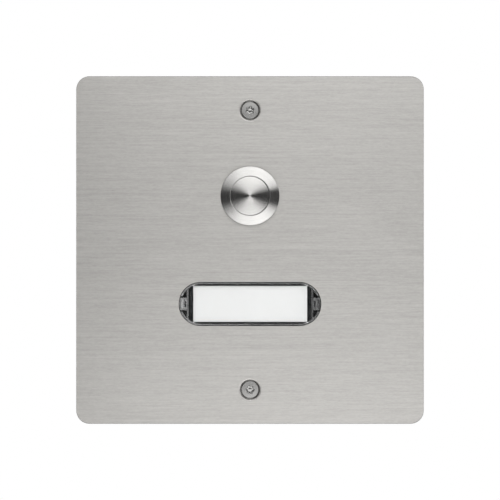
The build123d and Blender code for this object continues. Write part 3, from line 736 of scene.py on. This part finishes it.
# Fixing screws: countersunk head, six-lobe drive, fine thread
screw = {
    "headTop": 3.13, "headRadius": 3.15, "headEdge": 2.91, "neckRadius": 1.45, "neckHeight": 1.21, "dome": 0.06,
    "driveRadius": 1.50, "driveLobe": 0.22, "driveDepth": 0.8,
    # recess: share of the radius, height over the floor, share of the lobe; the floor swells in the middle
    "recess": ((0.0, 0.05, 0.0), (0.2, 0.038, 0.02), (0.4, 0.01, 0.1), (0.5, 0.0, 0.3), (0.62, 0.012, 0.5),
               (0.86, 0.045, 0.9), (0.94, 0.13, 0.97)),
    "lip": ((0.97, 0.08), (1.0, 0.03), (1.04, 0.0), (1.07, 0.0)),    # share of the radius, depth
    "face": ((1.925, 0.002), (2.125, 0.015)), "faceRadius": 2.38,    # radius, depth
    "threadRadius": 1.75, "threadDepth": 0.35, "threadPitch": 0.6, "threadStart": 1.0, "threadEnd": -23.6,
    "tip": -24.0, "tipBevel": 0.3, "steps": 48, "rings": 246, "sharpAngle": 30,
    "turn": 60.0, "seed": 4,                      # the two drives stand at different angles
}


def makeScrews(size, material):
    top, root = size["headTop"], size["threadRadius"] - size["threadDepth"]
    drive, lobe, floor = size["driveRadius"], size["driveLobe"], top - size["driveDepth"]
    rings = [(drive * share, floor + rise, lobe * wave) for share, rise, wave in size["recess"]]
    rings += [(drive * share, top - depth, lobe) for share, depth in size["lip"]]
    rings += [(radius, top - depth) for radius, depth in size["face"]]
    rings += roundCorners([
        (size["faceRadius"], top - size["dome"] * 0.5, 0), (size["headRadius"], top - size["dome"], 0.16),
        (size["headRadius"], size["headEdge"], 0.06),
        (size["neckRadius"], size["neckHeight"], 0.2), (root, size["threadStart"], 0)])
    end = [(root, size["threadEnd"]), (root - size["tipBevel"], size["tip"]), (0.0, size["tip"])]
    piece = turnedMesh("screws_threaded", rings, size["steps"])
    tip = turnedMesh("tip", end, size["steps"])
    mesh = bmesh.new()
    for part in (piece, tip):
        mesh.from_mesh(part.data)
    mesh.to_mesh(piece.data)
    mesh.free()
    bpy.data.objects.remove(tip)
    windThread(piece, size, material, {
        "Copies": 2, "Place": (0.0, 0.0, fixingHeight * mm), "Spacing": (0.0, 0.0, -2 * fixingHeight * mm),
        "Turn": math.radians(size["turn"]), "Seed": size["seed"]})
    return piece


# Return spring: Geometry Nodes wind a round wire up the stem, its end turns laid close
spring = {
    "coilRadius": 3.225, "wireRadius": 0.37, "foot": -3.7, "length": 6.0, "turns": 5.3, "points": 260,
    "riseSpan": (0.12, 0.88), "wireSides": 14, "axisHeight": buttonHeight, "pressedShare": 4.0 / 6.0,
    "sharpAngle": 50,
}


def makeSpringTree(size):
    tree, given, result = newGroup("coiledWire", "GeometryNodeTree", {
        "Geometry": "Geometry", "Coil Radius": "Float", "Wire Radius": "Float", "Foot": "Float", "Length": "Float",
        "Turns": "Float", "Points": "Int", "Axis Height": "Float", "Material": "Material"}, {"Geometry": "Geometry"})
    coilRadius, wireRadius = given["Coil Radius"], given["Wire Radius"]
    line = addNode(tree, "GeometryNodeCurvePrimitiveLine")
    path = addNode(tree, "GeometryNodeResampleCurve", {"Curve": line.outputs[0], "Count": given["Points"]})
    share = addNode(tree, "GeometryNodeSplineParameter").outputs["Factor"]
    angle = addMath(tree, "MULTIPLY", addMath(tree, "MULTIPLY", share, given["Turns"]), 2 * math.pi)
    rise = addRange(tree, share, *size["riseSpan"])
    room = addMath(tree, "SUBTRACT", given["Length"], addMath(tree, "MULTIPLY", wireRadius, 2.0))
    climb = addMath(tree, "MULTIPLY_ADD", rise, room, addMath(tree, "ADD", given["Foot"], wireRadius))
    wound = joinAxes(tree, {
        "X": addMath(tree, "MULTIPLY", addMath(tree, "COSINE", angle), coilRadius),
        "Y": addMath(tree, "MULTIPLY", climb, -1.0),
        "Z": addMath(tree, "MULTIPLY_ADD", addMath(tree, "SINE", angle), coilRadius, given["Axis Height"])})
    coil = addNode(tree, "GeometryNodeSetPosition", {"Geometry": path.outputs[0], "Position": wound})
    section = addNode(tree, "GeometryNodeCurvePrimitiveCircle", {
        "Resolution": size["wireSides"], "Radius": wireRadius})
    wire = addNode(tree, "GeometryNodeCurveToMesh", {
        "Curve": coil.outputs[0], "Profile Curve": section.outputs[0], "Fill Caps": True})
    endTree(tree, wire.outputs[0], given["Material"], result)
    return tree


def makeSpring(size, material):
    piece = newPiece("spring_wound")
    setTree(piece, makeSpringTree(size), {
        "Coil Radius": size["coilRadius"] * mm, "Wire Radius": size["wireRadius"] * mm, "Foot": size["foot"] * mm,
        "Length": size["length"] * mm, "Turns": size["turns"], "Points": size["points"],
        "Axis Height": size["axisHeight"] * mm, "Material": material})
    bakeTree(piece)
    finishMesh(piece, size["sharpAngle"])
    return piece


housingPiece = makeHousing(housing, materials["buttonSteel"])
capPiece = makeCap(cap, materials["buttonSteel"])
screwPiece = makeScrews(screw, materials["screwSteel"])
springPiece = makeSpring(spring, materials["springSteel"])
for piece, body, node, slot in (
    (housingPiece, "panel", "button_housing", "button_steel"),
    (capPiece, "button", "button_cap", "button_steel"),
    (screwPiece, "panel", "panel_screws", "screw_steel"),
    (springPiece, "panel", "return_spring", "spring_steel"),
):
    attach(piece, body)
    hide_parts(node)
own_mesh(springPiece)
print("turned pieces made:", [len(p.data.polygons) for p in (housingPiece, capPiece, screwPiece, springPiece)])


# Finishes of the pieces that keep their solid shape
nodeFinish = {
    "face_plate": "plateSteel", "wall_gasket": "gasketFoam", "flange_seal": "sealRubber", "mounting_nut": "nutSteel",
    "cap_seal": "sealRubber", "retaining_ring": "springSteel", "contact_carrier": "basePlastic",
    "contact_bridge": "contactBrass", "switch_base": "basePlastic", "terminal_left": "contactBrass",
    "terminal_right": "contactBrass", "name_cover": "coverClear", "name_label": "labelCard",
    "name_carrier": "trayPlastic", "carrier_seal": "sealRubber", "carrier_studs": "nutSteel",
    "carrier_clips": "springSteel",
}
for node, finish in nodeFinish.items():
    nodes[node].data.materials.clear()
    nodes[node].data.materials.append(materials[finish])
print("finishes set:", len(nodeFinish))


# Studio: two shaded panels above and below the camera, dimmer to the left, and white behind the object
studio = {
    "left": -0.85, "right": 0.75,
    "middle": 0.021,                              # the dark gap lies about the button's height
    "nearGap": 0.08, "nearDepth": -0.87,          # edge beside the camera
    "farGap": 0.68, "farDepth": -0.45,
    "brightness": 2.0,
    "nearBoost": 1.75, "boostReach": (0.155, 0.245), "boostWidth": 1.5,   # brightest beside the camera
    "softEdge": (0.088, 0.148), "flare": 0.16,    # their inner edges fade in, and curve away at the sides
    "leftSpread": 0.12,                           # the fade is longer on the left
    "falloff": ((0.0, 0.08), (0.19, 0.22), (0.31, 0.34), (0.36, 0.47), (0.39, 0.60), (0.43, 0.77), (0.48, 0.84),
                (0.53, 0.86), (0.62, 0.97), (0.68, 0.94), (0.75, 0.82), (0.88, 0.70)),
    "frontAmbient": 0.036, "rearAmbient": 0.55, "rearSpan": (0.0, 0.6),
}
# Weaker lamps: corner, two edges, brightness, and the kind of ray that misses the lamp
fills = {
    "rightFill": ((0.8, -0.55, -0.35), (0, 0.55, 0), (0, 0, 0.7), 0.4, None),
    "farLeft": ((-1.0, -0.85, -0.6), (0, 0.5, 0), (0, 0, 1.2), 0.6, None),    # for views from the sides
    "farRight": ((1.0, -0.85, -0.6), (0, 0.5, 0), (0, 0, 1.2), 0.6, None),
    "edgeLeft": ((-1.0, -0.02, -0.5), (0, 0.5, 0), (0, 0, 1.0), 0.8, None),   # for the edges of the sheet
    "edgeRight": ((1.0, -0.02, -0.5), (0, 0.5, 0), (0, 0, 1.0), 0.8, None),
    "cardFillLeft": ((-0.75, -1.1, -0.5), (0.5, 0, 0), (0, 0, 1.0), 1.1, "visible_glossy"),   # for the card
    "cardFillRight": ((0.25, -1.1, -0.5), (0.5, 0, 0), (0, 0, 1.0), 1.1, "visible_glossy"),
    "upperStrip": ((-0.3, -0.25, 0.62), (0.6, 0, 0), (0, 0.3, 0), 0.55, "visible_diffuse"),   # for the countersinks
    "lowerStrip": ((-0.3, -0.25, -0.62), (0.6, 0, 0), (0, 0.3, 0), 0.55, "visible_diffuse"),
    "rearHigh": ((-0.5, 0.25, 0.75), (1.0, 0, 0), (0, 0.6, -0.6), 1.4, None),
}


def softPanel(name, corner, across, up, brightness):
    across, up = Vector(across), Vector(up)
    centre = Vector(corner) + across / 2 + up / 2
    if across.cross(up).dot(centre) < 0:          # the lamp shines along its -Z, towards the object
        across = -across
    axes = (across.normalized(), up.normalized(), across.cross(up).normalized(), centre)
    lamp = bpy.data.lights.new(name, "AREA")
    lamp.shape = "RECTANGLE"
    lamp.size, lamp.size_y = across.length, up.length
    lamp.energy = brightness * math.pi * lamp.size * lamp.size_y
    holder = bpy.data.objects.new(name, lamp)
    holder.matrix_world = Matrix([[axis[row] for axis in axes] for row in range(3)] + [[0, 0, 0, 1]])
    holder.visible_camera = False
    bpy.context.scene.collection.objects.link(holder)
    return holder


def shadePanel(lamp, light):
    lamp.use_nodes = True
    tree = lamp.node_tree
    place = splitAxes(tree, addNode(tree, "ShaderNodeNewGeometry").outputs["Position"])
    sideways, rise = place["X"], addMath(tree, "SUBTRACT", place["Z"], light["middle"])
    ramp = addNode(tree, "ShaderNodeValToRGB", {0: addRange(tree, sideways, light["left"], light["right"])})
    stops = ramp.color_ramp.elements
    for index, (position, level) in enumerate(light["falloff"]):
        stop = stops[index] if index < 2 else stops.new(position)    # a new ramp has two stops
        stop.position, stop.color = position, (level, level, level, 1.0)
    narrowed = addMath(tree, "DIVIDE", sideways, light["boostWidth"])
    fromCamera = addVectorMath(tree, "LENGTH", joinAxes(tree, {"X": narrowed, "Z": rise}))
    boost = addRange(tree, fromCamera, *light["boostReach"], light["nearBoost"], 1.0, smooth=True)
    squared = addMath(tree, "POWER", addMath(tree, "ABSOLUTE", sideways), 2.0)
    curve = addMath(tree, "MULTIPLY", squared, light["flare"])
    inside = addMath(tree, "SUBTRACT", addMath(tree, "ABSOLUTE", rise), curve)
    spread = addMath(tree, "MULTIPLY", addMath(tree, "MINIMUM", sideways, 0.0), -light["leftSpread"])
    fadeStart, fadeEnd = light["softEdge"]
    lit = addRange(tree, inside, addMath(tree, "SUBTRACT", fadeStart, spread),
                   addMath(tree, "ADD", fadeEnd, spread), smooth=True)
    connect(tree, tree.nodes["Emission"], {
        "Color": ramp.outputs[0], "Strength": addMath(tree, "MULTIPLY", boost, lit)})


panelWidth = studio["right"] - studio["left"]
for name, sign in (("upperPanel", 1), ("lowerPanel", -1)):
    corner = (studio["left"], studio["nearDepth"], studio["middle"] + sign * studio["nearGap"])
    rise = (0.0, studio["farDepth"] - studio["nearDepth"], sign * (studio["farGap"] - studio["nearGap"]))
    shadePanel(softPanel(name, corner, (panelWidth, 0, 0), rise, studio["brightness"]).data, studio)
for name, (corner, across, up, brightness, missing) in fills.items():
    holder = softPanel(name, corner, across, up, brightness)
    if missing:
        setattr(holder, missing, False)


def makeWorld(light):
    world = bpy.data.worlds.new("studio")
    world.use_nodes = True
    tree = world.node_tree
    tree.nodes.clear()
    facing = splitAxes(tree, addNode(tree, "ShaderNodeTexCoord").outputs["Generated"])
    level = addRange(tree, facing["Y"], *light["rearSpan"], light["frontAmbient"], light["rearAmbient"], smooth=True)
    ambient, white = (addNode(tree, "ShaderNodeBackground", {"Color": (1.0, 1.0, 1.0, 1.0), "Strength": strength})
                      for strength in (level, 1.0))
    path = addNode(tree, "ShaderNodeLightPath")
    mixed = addNode(tree, "ShaderNodeMixShader", {
        0: path.outputs["Is Camera Ray"], 1: ambient.outputs[0], 2: white.outputs[0]})
    connect(tree, addNode(tree, "ShaderNodeOutputWorld"), {"Surface": mixed.outputs[0]})
    bpy.context.scene.world = world


makeWorld(studio)


# Pale floor below the panel, seen from above only
floor = {
    "height": -0.118, "left": -0.55, "right": 0.55, "front": -0.5, "back": 0.12,
    "pale": (0.86, 0.86, 0.85), "paler": (0.89, 0.89, 0.88), "specksPerMetre": 400.0,
    "roughness": 0.7, "specular": 0.2,
}


def makeFloor(size):
    piece = newPiece("floor")
    corners = [(size[side], size[depth], size["height"]) for side, depth in (
        ("left", "front"), ("right", "front"), ("right", "back"), ("left", "back"))]
    piece.data.from_pydata(corners, [], [(0, 1, 2, 3)])
    material, tree, shader = newMaterial("paleFloor", {
        "Roughness": size["roughness"], "Specular IOR Level": size["specular"]})
    speck = addNoise(tree, objectCoordinates(tree), size["specksPerMetre"], detail=3.0)
    connect(tree, shader, {
        "Base Color": addMix(tree, addRange(tree, speck, *noiseSpan), size["pale"], size["paler"])})
    side = addNode(tree, "ShaderNodeNewGeometry").outputs["Backfacing"]
    clear = addNode(tree, "ShaderNodeBsdfTransparent")
    mixed = addNode(tree, "ShaderNodeMixShader", {0: side, 1: shader.outputs[0], 2: clear.outputs[0]})
    connect(tree, tree.nodes["Material Output"], {"Surface": mixed.outputs[0]})
    piece.data.materials.append(material)
    piece.visible_glossy = False                  # the lower lamps still reach the panel
    piece.visible_diffuse = False
    piece.visible_shadow = False
    piece.visible_transmission = False


makeFloor(floor)


# Camera straight in front, far off, framed as in the photograph
view = {"lens": 135.0, "halfFrame": 93.5 * mm}


def makeCamera(size):
    data = bpy.data.cameras.new("camera")
    data.lens = size["lens"]
    holder = bpy.data.objects.new("camera", data)
    bpy.context.scene.collection.objects.link(holder)
    away = size["halfFrame"] / (data.sensor_width / 2 / data.lens)
    holder.location = (0.0, -plateFront * mm - away, 0.0)
    holder.rotation_euler = (math.radians(90), 0.0, 0.0)
    bpy.context.scene.camera = holder


makeCamera(view)
bpy.context.scene.view_settings.view_transform = "Standard"
print("studio set")
